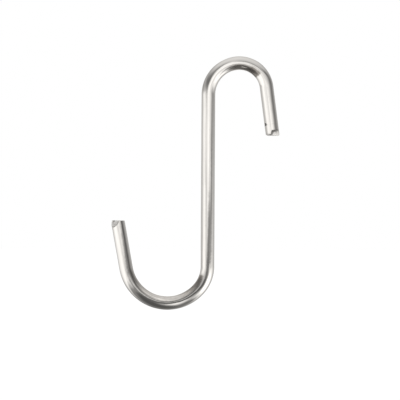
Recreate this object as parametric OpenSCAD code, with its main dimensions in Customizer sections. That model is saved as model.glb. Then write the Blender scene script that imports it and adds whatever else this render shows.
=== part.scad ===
// S hook: one length of round steel wire, bent into a small hook above and a wider hook below.
// It hangs upright in the XZ plane, with its shank along Z and its front towards -Y.
// The origin is the seat under the top bend, where the rail that carries it bears.

/* [Wire] */
// Diameter of the wire along the shank
wire_d = 5; // [3:0.1:7]
// How much thinner the wire is past the first part of each bend, so that it can start inside that part
toe_thinning = 0.08; // [0.04:0.01:0.2]

/* [Shank] */
// Straight length between the two bends
shank_l = 62.3; // [40:0.1:120]

/* [Top hook] */
// Centreline radius of the first part of the bend, next to the shank
top_heel_r = 11.5; // [8:0.1:20]
// Angle that the first part turns through
top_heel_a = 80.25; // [60:0.25:88]
// Centreline radius of the second part of the bend, next to the leg
top_toe_r = 9.9; // [7:0.1:20]
// Angle that the second part turns through
top_toe_a = 92.25; // [70:0.25:110]
// Straight length from the bend to the cut end
top_leg_l = 17.8; // [8:0.1:40]

/* [Bottom hook] */
// Centreline radius of the first part of the bend, next to the shank
bottom_heel_r = 12.3; // [8:0.1:24]
// Angle that the first part turns through
bottom_heel_a = 40.75; // [20:0.25:88]
// Centreline radius of the second part of the bend, next to the leg
bottom_toe_r = 15.2; // [8:0.1:24]
// Angle that the second part turns through
bottom_toe_a = 129; // [80:0.25:150]
// Straight length from the bend to the cut end
bottom_leg_l = 17.6; // [8:0.1:40]

/* [Sheared ends] */
// Depth of the top end's sheared facet at the cut
top_facet_depth = 1.05; // [0.4:0.05:1.8]
// Slope of that facet, from the end cut
top_facet_slope = 70; // [50:1:80]
// Turn of that facet round the wire, from the outside to the front
top_facet_turn = 52; // [0:1:90]
// Distance from the cut of the ledge where that facet stops
top_ledge = 1.35; // [0.8:0.05:2.4]
// Depth of the bottom end's sheared facet at the cut
bottom_facet_depth = 1.5; // [0.4:0.05:1.8]
// Slope of that facet, from the end cut
bottom_facet_slope = 55; // [40:1:70]
// Turn of that facet round the wire, from the outside to the front
bottom_facet_turn = 41; // [0:1:90]

/* [Nick] */
// Distance of the nick on the inside of the top leg from the cut end
nick_from_end = 4.3; // [3:0.1:7]
// Turn of the nick round the wire, from the inside to the front
nick_turn = 25; // [0:1:90]
// Radius of the nick
nick_r = 0.6; // [0.3:0.1:1.2]
// Depth of the nick
nick_depth = 0.25; // [0.1:0.05:0.5]

/* [Hidden] */
$fn = 96;

// Wire past the first part of each bend
toe_d = wire_d - toe_thinning;
toe_wire_r = toe_d / 2;

// The toe starts this far back, inside the heel, so that the two are one body
lap = 0.2;

// Crown of the top bend, from the top of the shank: it lies on the toe, as the heel turns less than 90
crown_x = top_heel_r - (top_heel_r - top_toe_r) * cos(top_heel_a);
crown_z = (top_heel_r - top_toe_r) * sin(top_heel_a) + top_toe_r;
seat_z = crown_z - toe_wire_r;

// Cutting blocks and the nick's cutter are wider than the wire
cutter = 4 * wire_d;

// A stretch of bent wire about the Y axis, with angles from +X towards +Z
module arc(radius, start_a, turn_a, d) {
    rotate([90, 0, 0])
        rotate_extrude(angle = turn_a, start = start_a)
            translate([radius, 0])
                circle(d = d);
}

// A half space above the plane z = 0
module above() {
    translate([-cutter / 2, -cutter / 2, 0])
        cube(cutter);
}

// The facet that the shears leave on the rim of a cut end, with the end at z = 0
module facet_cut(depth, slope, turn) {
    rotate([0, 0, 180 + turn])
        translate([toe_wire_r - depth, 0, 0])
            rotate([0, slope, 0])
                above();
}

// What is left of the children above a ledge, at a distance below z = 0
module down_to(ledge) {
    intersection() {
        children();
        translate([0, 0, -ledge])
            above();
    }
}

// A nick across the inner side of the wire, centred at z = 0
module nick_cut() {
    rotate([0, 0, -nick_turn])
        translate([toe_wire_r + nick_r - nick_depth, 0, 0])
            rotate([90, 0, 0])
                cylinder(h = cutter, r = nick_r, center = true);
}

// Toe and leg of one hook, with the leg along +Z from the origin and the bend on the +X side
// The end is cut square to the shank, and the children are cut away too
module toe_and_leg(toe_r, toe_a, leg_l, flare) {
    lap_a = lap / toe_r * 180 / PI;
    difference() {
        union() {
            translate([toe_r, 0, 0])
                arc(toe_r, 180, toe_a + lap_a, toe_d);
            cylinder(h = leg_l + wire_d, d = toe_d);
        }
        translate([0, 0, leg_l])
            rotate([0, flare, 0])
                above();
        translate([0, 0, leg_l])
            children();
    }
}

// One bent end of the wire: it leaves the origin along +Z and turns towards +X
// The children are cut from its end
module bent_end(heel_r, heel_a, toe_r, toe_a, leg_l) {
    flare = 180 - heel_a - toe_a;
    translate([heel_r, 0, 0]) {
        arc(heel_r, 180, -heel_a, wire_d);
        rotate([0, heel_a, 0])
            translate([toe_r - heel_r, 0, 0])
                rotate([0, toe_a, 0])
                    translate([-toe_r, 0, 0])
                        toe_and_leg(toe_r, toe_a, leg_l, flare)
                            children();
    }
}

module top_end() {
    bent_end(top_heel_r, top_heel_a, top_toe_r, top_toe_a, top_leg_l) {
        down_to(top_ledge)
            facet_cut(top_facet_depth, top_facet_slope, top_facet_turn);
        translate([0, 0, -nick_from_end])
            nick_cut();
    }
}

module bottom_end() {
    bent_end(bottom_heel_r, bottom_heel_a, bottom_toe_r, bottom_toe_a, bottom_leg_l)
        facet_cut(bottom_facet_depth, bottom_facet_slope, bottom_facet_turn);
}

// The whole wire, with the seat under the top bend at the origin
module hook() {
    color([0.78, 0.78, 0.76])
        translate([-crown_x, 0, -seat_z]) {
            top_end();
            translate([0, 0, -shank_l])
                cylinder(h = shank_l, d = wire_d);
            translate([0, 0, -shank_l])
                rotate([0, 180, 0])
                    bottom_end();
        }
}

hook();
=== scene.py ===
import math
from collections import namedtuple

import bmesh
import bpy
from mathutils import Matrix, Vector, noise


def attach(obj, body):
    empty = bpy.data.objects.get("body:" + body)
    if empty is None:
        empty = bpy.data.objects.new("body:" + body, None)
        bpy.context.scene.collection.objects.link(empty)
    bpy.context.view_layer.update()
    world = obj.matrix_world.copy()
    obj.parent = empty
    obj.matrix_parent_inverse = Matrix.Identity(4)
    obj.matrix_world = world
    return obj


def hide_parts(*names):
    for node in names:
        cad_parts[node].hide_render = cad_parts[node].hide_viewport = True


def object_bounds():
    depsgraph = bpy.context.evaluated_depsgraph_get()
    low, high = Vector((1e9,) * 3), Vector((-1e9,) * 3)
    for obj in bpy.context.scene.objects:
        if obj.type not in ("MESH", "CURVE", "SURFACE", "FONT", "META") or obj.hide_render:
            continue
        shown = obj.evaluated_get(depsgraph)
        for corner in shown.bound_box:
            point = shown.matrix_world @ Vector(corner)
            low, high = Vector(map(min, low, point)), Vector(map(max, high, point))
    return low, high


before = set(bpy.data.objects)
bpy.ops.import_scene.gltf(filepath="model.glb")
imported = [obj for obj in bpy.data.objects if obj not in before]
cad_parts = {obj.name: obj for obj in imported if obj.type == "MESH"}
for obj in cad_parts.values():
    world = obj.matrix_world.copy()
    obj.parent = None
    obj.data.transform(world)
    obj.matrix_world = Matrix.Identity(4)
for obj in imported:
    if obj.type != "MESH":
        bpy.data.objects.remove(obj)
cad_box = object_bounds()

# S hook: one bent length of bright steel wire, in a white studio that it mirrors
# Sizes are in millimetres and degrees, as in the part's source, and become metres when a mesh is made
MM = 0.001

# The wire, which the source has slightly thinner past the first part of each bend
WIRE_D = 5.0
TOE_THINNING = 0.08
WIRE_R = WIRE_D / 2
TOE_R = (WIRE_D - TOE_THINNING) / 2
SHANK_L = 62.3

# The two bent ends, each from the shank outwards: heel, toe and leg, the facet of its cut with the ledge
# where that stops, the rounding of its rim and the painted shade on that rim, and how far the nick is
# from the cut
TOP = {
    "heel_r": 11.5, "heel_a": 80.25, "toe_r": 9.9, "toe_a": 92.25, "leg_l": 17.8,
    "facet_depth": 1.05, "facet_slope": 70, "facet_turn": 52, "ledge": 1.35,
    "rim_r": 0.5, "rim_shade": 0.85, "nick_from_end": 4.3,
}
BOTTOM = {
    "heel_r": 12.3, "heel_a": 40.75, "toe_r": 15.2, "toe_a": 129, "leg_l": 17.6,
    "facet_depth": 1.5, "facet_slope": 55, "facet_turn": 41, "ledge": None,
    "rim_r": 0.12, "rim_shade": 0.0, "nick_from_end": None,
}

# The nick on the inside of the top leg, and the fine score round the wire at its height
NICK_R = 0.6
NICK_DEPTH = 0.25
NICK_TURN = 25
NICK_BLEND = 0.06
SCORE_W = 0.16
SCORE_DEPTH = 0.006

# The sheared ends: rounding of the facet's edges, and the relief of the fracture with a finer one on it
EDGE_BLEND = 0.25
RELIEF_H = 0.035
RELIEF_L = 0.45
FINE_RELIEF_SHARE = 0.5
FINE_RELIEF_SCALE = 2.3

# Slow waviness that drawing and bending leave on the wire
WAVE_H = 0.01
WAVE_L = 7.0

# Mesh of the wire: its sides, and the spacing of its rings on the plain wire and round the nick
# The last stretch before an end, a rim and a cut have a number of rings instead
SIDES = 96
ANGLES = [2 * math.pi * k / SIDES for k in range(SIDES)]
RING_STEP = 0.5
NICK_STEP = 0.07
NICK_ZONE = 0.75
TIP_L = 3.4
TIP_RINGS = 26
RIM_RINGS = 6
CAP_RINGS = 28

# Baking map: the wire's length is laid out in strips, with the two ends above them
# The ends' places are in wire diameters from the left
UV_STRIPS = 3
UV_MARGIN = 0.012
UV_TOP_PLACE = 1.0
UV_BOTTOM_PLACE = 2.5

# Patterns of noise on the straight wire: scale per millimetre across it and along it, and detail
Pattern = namedtuple("Pattern", "across along detail")

# The range that most of a noise lies in, and a narrower one for a patchy look
NOISE_RANGE = (0.3, 0.7)
MOTTLE_RANGE = (0.35, 0.65)

# Steels: a tone between two colours and a polish between two roughnesses, each by its own pattern
Steel = namedtuple("Steel", "metallic tone colours polish roughness")
DRAWN = Steel(
    metallic=1.0,
    tone=Pattern(1.1, 0.09, 3.0), colours=((0.74, 0.715, 0.68), (0.82, 0.795, 0.76)),
    polish=Pattern(3.0, 0.09, 2.0), roughness=(0.04, 0.08),
)
SHEARED = Steel(
    metallic=0.5,
    tone=Pattern(1.1, 1.1, 3.0), colours=((0.55, 0.53, 0.50), (0.95, 0.93, 0.90)),
    polish=Pattern(3.0, 1.1, 2.0), roughness=(0.35, 0.55),
)

# Bumps: slight ripples and the drawing die's fine lines on the wire, and torn grain on the sheared ends
RIPPLES = Pattern(0.9, 0.4, 2.0)
RIPPLE_H = 0.03
DIE_LINES = Pattern(9.0, 0.05, 2.0)
DIE_LINE_H = 0.0015
TORN_GRAIN = Pattern(5.0, 5.0, 4.0)
TORN_GRAIN_H = 0.06

# Painted shade in the nick and on the rim of the top end, and a dark speck on the bottom end
NICK_SHADE_R = 0.75
SPECK_PLACE = (-1.3, 0.2)
SPECK_R = 0.5
SHADE_AND_SPECK_COLOUR = (0.05, 0.048, 0.045)
SHADE_AND_SPECK_ROUGHNESS = 0.6

# Painted shade on a rim: how far it goes past the rim on either side, in rings, and its share away from
# the facet
SHADE_SIDE_RINGS = 5
SHADE_FACE_RINGS = 3
PLAIN_SHADE = 0.4

# Scuffs inside the bends: partly wear, where the rail and the bending pin rubbed the wire, and partly
# painted shade and dark reflection
# side: 1 on the top half of the wire, and -1 on the bottom half
# inside: where the edge lies, from the middle of the wire to the inside of the bend
# from_along, to_along: the places along the wire with none and with all of it, where it starts and stops
# ragged, mottle, strength: how uneven its edge is, how patchy it is and how much it covers
# tone: how bright it is beside the colour of the scuffs and their painted shade
ScuffAndShade = namedtuple("ScuffAndShade", "side inside from_along to_along ragged mottle strength tone")
SCUFFS_AND_SHADE = {
    "crown": ScuffAndShade(1, 0.5, (42.5, 47.5), (58.2, 57.5), 0.25, 0.45, 1.0, 1.0),
    "crown end": ScuffAndShade(1, 0.1, (51.0, 55.0), (58.2, 57.5), 0.25, 0.3, 1.0, 0.6),
    "bottom heel": ScuffAndShade(-1, 0.9, (34.6, 35.0), (50.0, 44.0), 0.3, 0.4, 1.0, 1.0),
    "bottom toe": ScuffAndShade(-1, 0.8, (44.0, 50.0), (80.0, 72.0), 0.3, 0.5, 0.5, 1.0),
}
SCUFF_SHADE_EDGE = 1.0
SCUFF_SHADE_RAGS = Pattern(1.6, 0.8, 3.0)
SCUFF_SHADE_MOTTLE = Pattern(2.5, 0.9, 3.0)
# Colour of the scuffs, partly worn steel and partly painted shade
SCUFF_AND_SHADE_COLOUR = (0.43, 0.395, 0.355)
SCUFF_SHADE_ROUGHNESS = 0.22

# Picture: its width and centre where the hook is, and how far the hook leans to the right in it
PICTURE_W = 144.92
PICTURE_X = -14.055
PICTURE_Z = -47.248
LEAN = 0.32
CAMERA_FAR = 800.0
SENSOR_W = 36.0
CLIP_NEAR = 10.0
CLIP_FAR = 100000.0

# Studio: a tent of light and a sphere of cards round the hook's middle, and a floor under them
# The floor's lift is light of its own that only the camera and mirrors see
TENT_R = 450.0
CARDS_R = 78.0
SPHERE_SIDES = 96
SPHERE_RINGS = 48
FLOOR_DROP = 480.0
FLOOR_W = 40000.0
FLOOR_COLOUR = (0.9, 0.9, 0.9, 1.0)
FLOOR_ROUGHNESS = 0.9
FLOOR_LIFT = 0.15
WHITE = (1.0, 1.0, 1.0, 1.0)

# Brightness of the bare tent by elevation
TENT_SHADES = ((-90, 0.2), (-60, 0.2), (-35, 0.3), (-10, 0.7), (20, 0.15), (45, 0.7), (90, 0.95))

# A card is a soft box or a flag, with the azimuths and the blur of its sides, two edges and its light
# An edge has an elevation in the middle of the card, a rise per degree to the right and a blur
Card = namedtuple("Card", "left right side_blur top bottom light")
Edge = namedtuple("Edge", "elevation rise blur")

# Boxes and flags on the tent, each laid over those before it
TENT_CARDS = {
    "left box": Card(-105, 40, 90, Edge(10, 0.0, 10), Edge(-20, 0.4, 15), 1.35),
    "right box": Card(25, 115, 50, Edge(-10, -0.2, 45), Edge(-50, -0.2, 25), 1.7),
    "upper left flag": Card(-145, -10, 40, Edge(40, 0.0, 40), Edge(20, -0.4, 40), 0.2),
    "upper right flag": Card(50, 135, 20, Edge(35, -0.2, 30), Edge(10, 0.4, 25), 0.1),
    "back left fill": Card(-195, -50, 70, Edge(15, -0.5, 35), Edge(-10, 0.1, 5), 0.6),
    "back right fill": Card(110, 195, 90, Edge(40, -0.2, 5), Edge(-55, 0.1, 40), 0.55),
    "back left box": Card(-210, -165, 10, Edge(35, 0.0, 20), Edge(-25, 0.0, 20), 1.2),
    "back right box": Card(165, 210, 10, Edge(35, 0.0, 20), Edge(-25, 0.0, 20), 1.2),
}

# Cards that stand close round the hook, each laid over those before it
NEAR_CARDS = {
    "low flag": Card(-125, 5, 90, Edge(-55, 0.6, 15), Edge(-90, 0.1, 35), 0.1),
    "low strip": Card(-15, 5, 40, Edge(-45, 0.6, 20), Edge(-65, -0.2, 30), 1.7),
    "high box": Card(-10, 55, 80, Edge(50, -0.1, 5), Edge(35, -0.5, 40), 1.2),
    "right flag": Card(10, 55, 80, Edge(-5, 0.1, 15), Edge(-25, 0.1, 5), 0.1),
    "left glow": Card(-130, 5, 30, Edge(30, -0.3, 45), Edge(30, -0.4, 40), 1.7),
    "middle flag": Card(-25, 30, 40, Edge(-25, 0.0, 20), Edge(-45, -0.2, 20), 0.1),
    "high strip": Card(-5, 10, 40, Edge(55, 0.6, 20), Edge(25, 0.8, 25), 1.6),
}


def smooth(value):
    """Rises smoothly from 0 to 1 as value goes from 0 to 1."""
    value = min(max(value, 0.0), 1.0)
    return value * value * (3 - 2 * value)


def blended_min(a, b, width):
    """The lower of a and b, rounded where they are closer than width."""
    share = min(max(0.5 + (b - a) / (2 * width), 0.0), 1.0)
    return b + (a - b) * share - width * share * (1 - share)


# Shape of the wire, first straight and then bent

def bend_stretches(end):
    """Length and centreline radius of the heel and the toe of one end."""
    heel = (end["heel_r"] * math.radians(end["heel_a"]), end["heel_r"])
    toe = (end["toe_r"] * math.radians(end["toe_a"]), end["toe_r"])
    return heel, toe


def half_length(end):
    """Length of the wire from the middle of the shank to the middle of the end cut."""
    return SHANK_L / 2 + sum(length for length, _ in bend_stretches(end)) + end["leg_l"]


def bent(end, across, depth, along):
    """Place of a point of the straight wire once its end is bent, from the middle of the shank."""
    x = 0.0
    z = min(along, SHANK_L / 2)
    left = along - SHANK_L / 2
    angle = 0.0
    for length, radius in bend_stretches(end):
        turn = max(min(left, length), 0.0) / radius
        x += radius * (math.cos(angle) - math.cos(angle + turn))
        z += radius * (math.sin(angle + turn) - math.sin(angle))
        angle += turn
        left -= length
    leg = max(left, 0.0)
    x += leg * math.sin(angle) + across * math.cos(angle)
    z += leg * math.cos(angle) - across * math.sin(angle)
    return Vector((x, depth, z))


def shank_middle():
    """Middle of the shank in the part's frame, whose origin is the seat under the top bend."""
    heel_a = math.radians(TOP["heel_a"])
    step = TOP["heel_r"] - TOP["toe_r"]
    crown_x = TOP["heel_r"] - step * math.cos(heel_a)
    crown_z = TOP["toe_r"] + step * math.sin(heel_a)
    return Vector((-crown_x, 0.0, TOE_R - crown_z - SHANK_L / 2))


def placed(point):
    """Place in the part's frame of a point (across, depth, along) of the straight wire."""
    across, depth, along = point
    if along >= 0:
        place = bent(TOP, across, depth, along)
    else:
        place = bent(BOTTOM, -across, depth, -along)
        place.x = -place.x
        place.z = -place.z
    return (shank_middle() + place) * MM


def wire_radius(end, along, angle):
    """Radius of the wire, which is slightly wavy."""
    side = 1 if end is TOP else -1
    spot = Vector((side * math.cos(angle), math.sin(angle), side * along / WAVE_L))
    return WIRE_R + WAVE_H * noise.noise(spot)


def cut_height(end, x, y):
    """Height of the sheared end over the middle of its cut, with x to the inside of the bend."""
    flare = math.radians(180 - end["heel_a"] - end["toe_a"])
    turn = math.radians(end["facet_turn"])
    outward = -x * math.cos(turn) - y * math.sin(turn)
    cut = -x * math.tan(flare)
    facet = (TOE_R - end["facet_depth"] - outward) * math.tan(math.radians(end["facet_slope"]))
    if end["ledge"] is not None:
        facet = -blended_min(-facet, end["ledge"], EDGE_BLEND)
    return blended_min(cut, facet, EDGE_BLEND)


def relief(end, x, y):
    """Small bumps of the fracture on a sheared end."""
    spot = Vector((x, y, end["facet_turn"])) / RELIEF_L
    fine = FINE_RELIEF_SHARE * noise.noise(spot * FINE_RELIEF_SCALE)
    return RELIEF_H * (noise.noise(spot) + fine)


def nicked(end, x, y, height):
    """Where a point of the side lies once the nick is cut, with x to the inside of the bend."""
    if end["nick_from_end"] is None:
        return x, y
    off = height + end["nick_from_end"]
    if abs(off) >= NICK_R:
        return x, y
    turn = math.radians(NICK_TURN)
    out = x * math.cos(turn) - y * math.sin(turn)
    floor = TOE_R - NICK_DEPTH + NICK_R - math.sqrt(NICK_R ** 2 - off ** 2)
    depth = out - blended_min(out, floor, NICK_BLEND)
    return x - depth * math.cos(turn), y + depth * math.sin(turn)


def score_depth(end, height):
    """Depth of the fine score round the wire at the nick."""
    if end["nick_from_end"] is None:
        return 0.0
    off = abs(height + end["nick_from_end"])
    return SCORE_DEPTH * smooth(1 - off / SCORE_W)


def plain_places(end):
    """Places of the plain rings along one half of the wire, closer together at the nick."""
    last = half_length(end) - TIP_L
    count = round(last / RING_STEP)
    places = [last * i / count for i in range(count + 1)]
    if end["nick_from_end"] is not None:
        nick = half_length(end) - end["nick_from_end"]
        places = [p for p in places if abs(p - nick) > NICK_ZONE]
        steps = round(NICK_ZONE / NICK_STEP)
        places += [nick + NICK_ZONE * i / steps for i in range(-steps, steps + 1)]
        places = [p for p in places if p <= last]
    return sorted(places)


def half_rings(end):
    """Rings of half of the straight wire, how many of them are its side, and the middle of its cut."""
    total = half_length(end)
    rim_r = end["rim_r"]
    rings = []

    def ring(place_of):
        rings.append([place_of(angle) for angle in ANGLES])

    def on_side(angle, height):
        radius = wire_radius(end, total + height, angle) - score_depth(end, height)
        x, y = nicked(end, radius * math.cos(angle), radius * math.sin(angle), height)
        return (x, y, total + height)

    def on_cut(angle, radius):
        x = radius * math.cos(angle)
        y = radius * math.sin(angle)
        return (x, y, total + cut_height(end, x, y) + relief(end, x, y))

    for place in plain_places(end):
        ring(lambda angle: on_side(angle, place - total))
    for i in range(1, TIP_RINGS + 1):
        share = i / TIP_RINGS

        def towards_end(angle):
            edge = on_cut(angle, wire_radius(end, total, angle))[2] - total - rim_r
            return on_side(angle, -TIP_L + (edge + TIP_L) * share)

        ring(towards_end)
    side_count = len(rings)
    for i in range(1, RIM_RINGS + 1):
        turn = math.pi / 2 * i / RIM_RINGS

        def round_rim(angle):
            radius = wire_radius(end, total, angle) - rim_r * (1 - math.cos(turn))
            x, y, along = on_cut(angle, radius)
            return (x, y, along - rim_r * (1 - math.sin(turn)))

        ring(round_rim)
    for i in range(1, CAP_RINGS):
        share = 1 - i / CAP_RINGS
        ring(lambda angle: on_cut(angle, (wire_radius(end, total, angle) - rim_r) * share))
    return rings, side_count, on_cut(0.0, 0.0)


def flipped(ring):
    """A ring of the bottom half, in the order and the frame of the top half."""
    points = [ring[(SIDES // 2 - k) % SIDES] for k in range(SIDES)]
    return [(-across, depth, -along) for across, depth, along in points]


def wire_faces(ring_count, side_start, side_stop):
    """Faces between the rings and over both ends, and how far past the side each is, in rings."""
    faces = []
    past_side = []
    for j in range(ring_count - 1):
        low = j * SIDES
        high = low + SIDES
        for k in range(SIDES):
            after = (k + 1) % SIDES
            faces.append((low + k, low + after, high + after, high + k))
            past_side.append(max(side_start - j, j + 2 - side_stop, 0))
    last = (ring_count - 1) * SIDES
    bottom_point = ring_count * SIDES
    top_point = bottom_point + 1
    for k in range(SIDES):
        after = (k + 1) % SIDES
        faces.append((after, k, bottom_point))
        faces.append((last + k, last + after, top_point))
        past_side += [CAP_RINGS, CAP_RINGS]
    return faces, past_side


def rim_shade(point_count, side_start, side_stop):
    """How much painted shade each point has: only the front of an end's rim has it, and most where the
    facet meets it.
    """
    painted_shade = [0.0] * point_count
    shaded_rings = SHADE_SIDE_RINGS + RIM_RINGS + SHADE_FACE_RINGS
    for end, last_ring, step in ((BOTTOM, side_start, -1), (TOP, side_stop - 1, 1)):
        first_ring = last_ring - SHADE_SIDE_RINGS * step
        for k, angle in enumerate(ANGLES):
            x = WIRE_R * math.cos(angle)
            y = WIRE_R * math.sin(angle)
            on_facet = smooth(-cut_height(end, step * x, y) / end["facet_depth"])
            most = end["rim_shade"] * smooth(-y / WIRE_R) * (PLAIN_SHADE + (1 - PLAIN_SHADE) * on_facet)
            for i in range(shaded_rings + 1):
                share = math.sin(math.pi * i / shaded_rings)
                painted_shade[(first_ring + i * step) * SIDES + k] = most * share
    return painted_shade


def bake_map(mesh, points, past_side):
    """Lays the wire's side out flat in strips, and the two ends with their rims above them."""
    bottom_l = half_length(BOTTOM)
    strip_l = (bottom_l + half_length(TOP)) / UV_STRIPS
    girth = math.pi * WIRE_D
    scale = (1 - 2 * UV_MARGIN) / (strip_l + WIRE_D)
    strip_h = scale * girth + UV_MARGIN
    layer = mesh.uv_layers.new(name="OFBake")
    for face in mesh.polygons:
        corners = [points[index] for index in face.vertices]
        middle = sum(corner[2] for corner in corners) / len(corners)
        if past_side[face.index]:
            place = UV_TOP_PLACE if middle > 0 else UV_BOTTOM_PLACE
            left = UV_MARGIN + scale * WIRE_D * place
            low = UV_MARGIN + UV_STRIPS * strip_h + scale * WIRE_D
            places = [(left + scale * c[0], low + scale * c[1]) for c in corners]
        else:
            strip = min(int((middle + bottom_l) / strip_l), UV_STRIPS - 1)
            turns = [math.atan2(c[1], c[0]) / (2 * math.pi) % 1.0 for c in corners]
            # A face across the seam keeps its corners together
            if max(turns) - min(turns) > 0.5:
                turns = [turn + 1 if turn < 0.5 else turn for turn in turns]
            low = UV_MARGIN + strip * strip_h
            start = strip * strip_l - bottom_l - WIRE_D / 2
            places = [
                (UV_MARGIN + scale * (c[2] - start), low + scale * girth * turn)
                for c, turn in zip(corners, turns)
            ]
        for loop, place in zip(face.loop_indices, places):
            layer.data[loop].uv = place


def wire_mesh():
    """The whole wire as one closed mesh, with its straight form as an attribute and a baking map."""
    top_rings, top_side, top_centre = half_rings(TOP)
    bottom_rings, bottom_side, bottom_centre = half_rings(BOTTOM)
    rings = [flipped(ring) for ring in reversed(bottom_rings[1:])] + top_rings
    side_start = len(bottom_rings) - bottom_side
    side_stop = len(bottom_rings) - 1 + top_side
    bottom_point = (-bottom_centre[0], bottom_centre[1], -bottom_centre[2])
    points = [point for ring in rings for point in ring] + [bottom_point, top_centre]
    faces, past_side = wire_faces(len(rings), side_start, side_stop)

    mesh = bpy.data.meshes.new("bent_wire")
    mesh.from_pydata([placed(point) for point in points], [], faces)
    mesh.polygons.foreach_set("use_smooth", [True] * len(faces))
    mesh.polygons.foreach_set("material_index", [int(count > RIM_RINGS) for count in past_side])
    straight = mesh.attributes.new("straight_mm", "FLOAT_VECTOR", "POINT")
    straight.data.foreach_set("vector", [value for point in points for value in point])
    # Painted shade on the front of the top end's rim, kept at each point
    painted_shade = mesh.attributes.new("painted_shade", "FLOAT", "POINT")
    painted_shade.data.foreach_set("value", rim_shade(len(points), side_start, side_stop))
    bake_map(mesh, points, past_side)
    mesh.update()
    return mesh


# Parts of materials

def new_material(name):
    """An empty node material, with its tree and its output node."""
    material = bpy.data.materials.new(name)
    material.use_nodes = True
    tree = material.node_tree
    tree.nodes.clear()
    return material, tree, tree.nodes.new("ShaderNodeOutputMaterial")


def math_node(tree, operation, first, second=0.0):
    """Result of an operation on sockets or numbers."""
    node = tree.nodes.new("ShaderNodeMath")
    node.operation = operation
    for socket, value in zip(node.inputs, (first, second)):
        if isinstance(value, (int, float)):
            socket.default_value = value
        else:
            tree.links.new(value, socket)
    return node.outputs[0]


def axes_of(tree, vector):
    """The X, Y and Z of a vector."""
    node = tree.nodes.new("ShaderNodeSeparateXYZ")
    tree.links.new(vector, node.inputs[0])
    return node.outputs


def ranged(tree, value, from_low, from_high, to_low, to_high, interpolation="LINEAR"):
    """A value mapped from one range to another."""
    node = tree.nodes.new("ShaderNodeMapRange")
    node.interpolation_type = interpolation
    tree.links.new(value, node.inputs["Value"])
    node.inputs["From Min"].default_value = from_low
    node.inputs["From Max"].default_value = from_high
    node.inputs["To Min"].default_value = to_low
    node.inputs["To Max"].default_value = to_high
    return node.outputs["Result"]


def risen(tree, value, start, stop):
    """Rises smoothly from 0 to 1 as a value goes from start to stop."""
    return ranged(tree, value, start, stop, 0.0, 1.0, "SMOOTHSTEP")


def soft_step(tree, value, blur):
    """Rises smoothly from 0 to 1 as a value goes through 0, over the width of a blur."""
    return risen(tree, value, -blur / 2, blur / 2)


def ramp(tree, value, stops):
    """Colours by value, from (place, colour) stops."""
    node = tree.nodes.new("ShaderNodeValToRGB")
    elements = node.color_ramp.elements
    while len(elements) < len(stops):
        elements.new(0.5)
    for element, (place, colour) in zip(elements, stops):
        element.position = place
        element.color = (*colour, 1.0)
    tree.links.new(value, node.inputs[0])
    return node.outputs["Color"]


def bumped(tree, height, distance, normal=None):
    """Normals of a bump with its height in millimetres."""
    node = tree.nodes.new("ShaderNodeBump")
    node.inputs["Distance"].default_value = distance * MM
    tree.links.new(height, node.inputs["Height"])
    if normal is not None:
        tree.links.new(normal, node.inputs["Normal"])
    return node.outputs["Normal"]


def attribute(tree, name, output):
    """A value that the mesh keeps at each point."""
    node = tree.nodes.new("ShaderNodeAttribute")
    node.attribute_name = name
    return node.outputs[output]


def straight_place(tree):
    """Place on the straight wire, in millimetres."""
    return attribute(tree, "straight_mm", "Vector")


def wire_noise(tree, pattern):
    """Noise on the straight wire."""
    stretch = tree.nodes.new("ShaderNodeVectorMath")
    stretch.operation = "MULTIPLY"
    stretch.inputs[1].default_value = (pattern.across, pattern.across, pattern.along)
    tree.links.new(straight_place(tree), stretch.inputs[0])
    texture = tree.nodes.new("ShaderNodeTexNoise")
    texture.inputs["Scale"].default_value = 1.0
    texture.inputs["Detail"].default_value = pattern.detail
    tree.links.new(stretch.outputs[0], texture.inputs["Vector"])
    return texture.outputs["Fac"]


def dulled(tree, value, share, dull):
    """A colour or a number that gives way to a dull one where a share says so."""
    mix = tree.nodes.new("ShaderNodeMix")
    if isinstance(dull, tuple):
        mix.data_type = "RGBA"
    live = [socket for socket in mix.inputs if socket.enabled]
    tree.links.new(share, live[0])
    tree.links.new(value, live[1])
    live[2].default_value = (*dull, 1.0) if isinstance(dull, tuple) else dull
    return next(socket for socket in mix.outputs if socket.enabled)


# Steel of the wire

def spot_share(tree, place, radius):
    """1 within half a radius of a place on the straight wire, and 0 from that radius outwards."""
    off = tree.nodes.new("ShaderNodeVectorMath")
    off.operation = "DISTANCE"
    off.inputs[1].default_value = place
    tree.links.new(straight_place(tree), off.inputs[0])
    return risen(tree, off.outputs["Value"], radius, radius / 2)


def scuff_and_shade_share(tree, scuff_shade):
    """How much a scuff and its painted shade cover: up to its strength inside its bend, in patches, and
    0 elsewhere.
    """
    axes = axes_of(tree, straight_place(tree))
    inwards = math_node(tree, "MULTIPLY", axes["X"], scuff_shade.side)
    along = math_node(tree, "MULTIPLY", axes["Z"], scuff_shade.side)
    rags = ranged(tree, wire_noise(tree, SCUFF_SHADE_RAGS), *NOISE_RANGE, -scuff_shade.ragged, scuff_shade.ragged)
    inside = math_node(tree, "ADD", inwards, rags)
    share = risen(tree, inside, scuff_shade.inside - SCUFF_SHADE_EDGE / 2, scuff_shade.inside + SCUFF_SHADE_EDGE / 2)
    for none, full in (scuff_shade.from_along, scuff_shade.to_along):
        share = math_node(tree, "MULTIPLY", share, risen(tree, along, none, full))
    least = scuff_shade.strength * (1 - scuff_shade.mottle)
    cover = ranged(tree, wire_noise(tree, SCUFF_SHADE_MOTTLE), *MOTTLE_RANGE, least, scuff_shade.strength)
    return math_node(tree, "MULTIPLY", share, cover)


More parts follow.
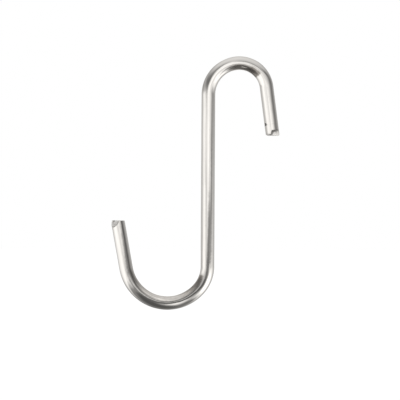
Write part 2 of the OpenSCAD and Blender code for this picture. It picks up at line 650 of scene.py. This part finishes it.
def steel(name, kind, normal_of, pit, pit_r, scuffs_and_shade=()):
    """A steel with the tone and polish of its kind, one dark spot, painted shade on the rims, and scuffs
    partly painted as shade.
    """
    material, tree, output = new_material(name)
    shader = tree.nodes.new("ShaderNodeBsdfPrincipled")
    shader.inputs["Metallic"].default_value = kind.metallic
    colour = ramp(tree, wire_noise(tree, kind.tone), list(zip(NOISE_RANGE, kind.colours)))
    roughness = ranged(tree, wire_noise(tree, kind.polish), *NOISE_RANGE, *kind.roughness)
    # Scuffs darken the colour inside the bends: partly wear, partly painted shade and dark reflection
    for scuff_shade in scuffs_and_shade:
        share = scuff_and_shade_share(tree, scuff_shade)
        colour = dulled(tree, colour, share, tuple(scuff_shade.tone * value for value in SCUFF_AND_SHADE_COLOUR))
        roughness = dulled(tree, roughness, share, SCUFF_SHADE_ROUGHNESS)
    # The nick's dark spot and the rim's darkening are painted shade; the speck on a sheared end is a
    # dark mark
    painted_shade = attribute(tree, "painted_shade", "Fac")
    shade_and_speck = math_node(tree, "MAXIMUM", spot_share(tree, pit, pit_r), painted_shade)
    tree.links.new(dulled(tree, colour, shade_and_speck, SHADE_AND_SPECK_COLOUR), shader.inputs["Base Color"])
    tree.links.new(dulled(tree, roughness, shade_and_speck, SHADE_AND_SPECK_ROUGHNESS), shader.inputs["Roughness"])
    tree.links.new(normal_of(tree), shader.inputs["Normal"])
    tree.links.new(shader.outputs[0], output.inputs["Surface"])
    return material


def drawn_normal(tree):
    """Fine lines along the wire, as the drawing die leaves them, over slight ripples."""
    ripples = bumped(tree, wire_noise(tree, RIPPLES), RIPPLE_H)
    return bumped(tree, wire_noise(tree, DIE_LINES), DIE_LINE_H, ripples)


def sheared_normal(tree):
    """Grain of the torn metal on a sheared end."""
    return bumped(tree, wire_noise(tree, TORN_GRAIN), TORN_GRAIN_H)


def drawn_steel():
    """Bright drawn wire, with painted shade in the nick, and scuffs with painted shade inside the bends.
    """
    turn = math.radians(NICK_TURN)
    along = half_length(TOP) - TOP["nick_from_end"]
    nick = (WIRE_R * math.cos(turn), -WIRE_R * math.sin(turn), along)
    return steel("drawn_steel", DRAWN, drawn_normal, nick, NICK_SHADE_R, SCUFFS_AND_SHADE.values())


def sheared_steel():
    """Torn steel of the sheared ends, with a speck on the bottom one."""
    x, y = SPECK_PLACE
    speck = (-x, y, -half_length(BOTTOM) - cut_height(BOTTOM, x, y))
    return steel("sheared_steel", SHEARED, sheared_normal, speck, SPECK_R)


# Studio: a white surround, a pale floor, and boxes and flags that the wire mirrors

def direction(tree):
    """Azimuth from the camera's side towards +X, and elevation, from the tent's middle in degrees."""
    place = tree.nodes.new("ShaderNodeTexCoord")
    unit = tree.nodes.new("ShaderNodeVectorMath")
    unit.operation = "NORMALIZE"
    tree.links.new(place.outputs["Object"], unit.inputs[0])
    axes = axes_of(tree, unit.outputs[0])
    front = math_node(tree, "MULTIPLY", axes["Y"], -1.0)
    azimuth = math_node(tree, "ARCTAN2", axes["X"], front)
    elevation = math_node(tree, "ARCSINE", axes["Z"])
    return math_node(tree, "DEGREES", azimuth), math_node(tree, "DEGREES", elevation)


def card_share(tree, azimuth, elevation, card):
    """1 in the middle of a card, and 0 outside it."""
    aside = math_node(tree, "SUBTRACT", azimuth, (card.left + card.right) / 2)
    half = (card.right - card.left) / 2
    share = soft_step(tree, math_node(tree, "ADD", aside, half), card.side_blur)
    right = soft_step(tree, math_node(tree, "SUBTRACT", half, aside), card.side_blur)
    share = math_node(tree, "MULTIPLY", share, right)
    for edge, inwards in ((card.top, -1.0), (card.bottom, 1.0)):
        height = math_node(tree, "ADD", math_node(tree, "MULTIPLY", aside, edge.rise), edge.elevation)
        inside = math_node(tree, "MULTIPLY", math_node(tree, "SUBTRACT", elevation, height), inwards)
        share = math_node(tree, "MULTIPLY", share, soft_step(tree, inside, edge.blur))
    return share


def covered(tree, value, share, cover):
    """A value that gives way to that of a card where its share is."""
    kept = math_node(tree, "MULTIPLY", value, math_node(tree, "SUBTRACT", 1.0, share))
    return math_node(tree, "ADD", kept, math_node(tree, "MULTIPLY", share, cover))


def glowing(tree, material, light):
    """An emission with a light as its strength, which is not sampled as a lamp."""
    glow = tree.nodes.new("ShaderNodeEmission")
    tree.links.new(light, glow.inputs["Strength"])
    material.cycles.emission_sampling = "NONE"
    return glow.outputs[0]


def tent_material():
    """Light of the tent: a shade by elevation, with the cards laid over it in turn."""
    material, tree, output = new_material("tent_light")
    azimuth, elevation = direction(tree)
    height = ranged(tree, elevation, -90.0, 90.0, 0.0, 1.0)
    light = ramp(tree, height, [((degrees + 90) / 180, (shade,) * 3) for degrees, shade in TENT_SHADES])
    for card in TENT_CARDS.values():
        light = covered(tree, light, card_share(tree, azimuth, elevation, card), card.light)
    tree.links.new(glowing(tree, material, light), output.inputs["Surface"])
    return material


def cards_material():
    """Light of the near cards, with the tent open to view between them."""
    material, tree, output = new_material("card_light")
    azimuth, elevation = direction(tree)
    light = 0.0
    opening = 1.0
    for card in NEAR_CARDS.values():
        share = card_share(tree, azimuth, elevation, card)
        light = covered(tree, light, share, card.light)
        opening = covered(tree, opening, share, 0.0)
    clear = tree.nodes.new("ShaderNodeBsdfTransparent")
    tree.links.new(opening, clear.inputs["Color"])
    both = tree.nodes.new("ShaderNodeAddShader")
    tree.links.new(glowing(tree, material, light), both.inputs[0])
    tree.links.new(clear.outputs[0], both.inputs[1])
    tree.links.new(both.outputs[0], output.inputs["Surface"])
    return material


def seen_directly(tree):
    """1 for what the camera sees, directly or in metal and glass, and 0 for other light."""
    rays = tree.nodes.new("ShaderNodeLightPath").outputs
    mirrored = math_node(tree, "MAXIMUM", rays["Is Glossy Ray"], rays["Is Transmission Ray"])
    return math_node(tree, "MAXIMUM", rays["Is Camera Ray"], mirrored)


def floor_material():
    """A pale floor, which looks white where no shadow falls on it."""
    material, tree, output = new_material("pale_floor")
    shader = tree.nodes.new("ShaderNodeBsdfPrincipled")
    shader.inputs["Base Color"].default_value = FLOOR_COLOUR
    shader.inputs["Roughness"].default_value = FLOOR_ROUGHNESS
    shader.inputs["Specular IOR Level"].default_value = 0.0
    shader.inputs["Emission Color"].default_value = WHITE
    lift = math_node(tree, "MULTIPLY", seen_directly(tree), FLOOR_LIFT)
    tree.links.new(lift, shader.inputs["Emission Strength"])
    tree.links.new(shader.outputs[0], output.inputs["Surface"])
    return material


def new_object(name, mesh, materials):
    """An object in the scene, with its materials."""
    made = bpy.data.objects.new(name, mesh)
    bpy.context.scene.collection.objects.link(made)
    for material in materials:
        mesh.materials.append(material)
    return made


def stage_mesh(name, make):
    """A mesh for the stage, made by a function on an empty one."""
    mesh = bpy.data.meshes.new(name)
    shape = bmesh.new()
    make(shape)
    shape.to_mesh(mesh)
    shape.free()
    return mesh


def add_mirrored(name, middle, radius, material):
    """A sphere of light round the hook, which only reflections show."""

    def make(shape):
        bmesh.ops.create_uvsphere(
            shape, u_segments=SPHERE_SIDES, v_segments=SPHERE_RINGS, radius=radius * MM)

    sphere = new_object(name, stage_mesh(name, make), [material])
    sphere.location = middle
    sphere.visible_camera = False
    sphere.visible_diffuse = False
    sphere.visible_shadow = False


def add_floor(middle):
    """The floor under the tent."""

    def make(shape):
        bmesh.ops.create_grid(shape, x_segments=1, y_segments=1, size=FLOOR_W * MM / 2)

    floor = new_object("floor", stage_mesh("floor", make), [floor_material()])
    floor.location = middle - Vector((0.0, 0.0, FLOOR_DROP * MM))


def add_world():
    """A plain white surround."""
    world = bpy.data.worlds.new("white_surround")
    world.use_nodes = True
    background = world.node_tree.nodes["Background"]
    background.inputs["Color"].default_value = WHITE
    background.inputs["Strength"].default_value = 1.0
    bpy.context.scene.world = world


def add_camera():
    """The camera, square to the wire's plane."""
    lens = bpy.data.cameras.new("camera")
    lens.sensor_width = SENSOR_W
    lens.lens = SENSOR_W * CAMERA_FAR / PICTURE_W
    lens.clip_start = CLIP_NEAR * MM
    lens.clip_end = CLIP_FAR * MM
    camera = bpy.data.objects.new("camera", lens)
    camera.location = Vector((PICTURE_X, -CAMERA_FAR, PICTURE_Z)) * MM
    camera.rotation_euler = (math.radians(90), math.radians(-LEAN), 0.0)
    bpy.context.scene.collection.objects.link(camera)
    bpy.context.scene.camera = camera


wire = new_object("bent_wire", wire_mesh(), [drawn_steel(), sheared_steel()])
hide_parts("hook")
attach(wire, "root")

# The wire isn't mirrored in itself, which would only speckle its inner sides
wire.visible_glossy = False

box_low, box_high = cad_box
box_middle = (box_low + box_high) / 2
add_mirrored("tent", box_middle, TENT_R, tent_material())
add_mirrored("near_cards", box_middle, CARDS_R, cards_material())
add_floor(box_middle)
add_world()
add_camera()
bpy.context.scene.view_settings.view_transform = "Standard"
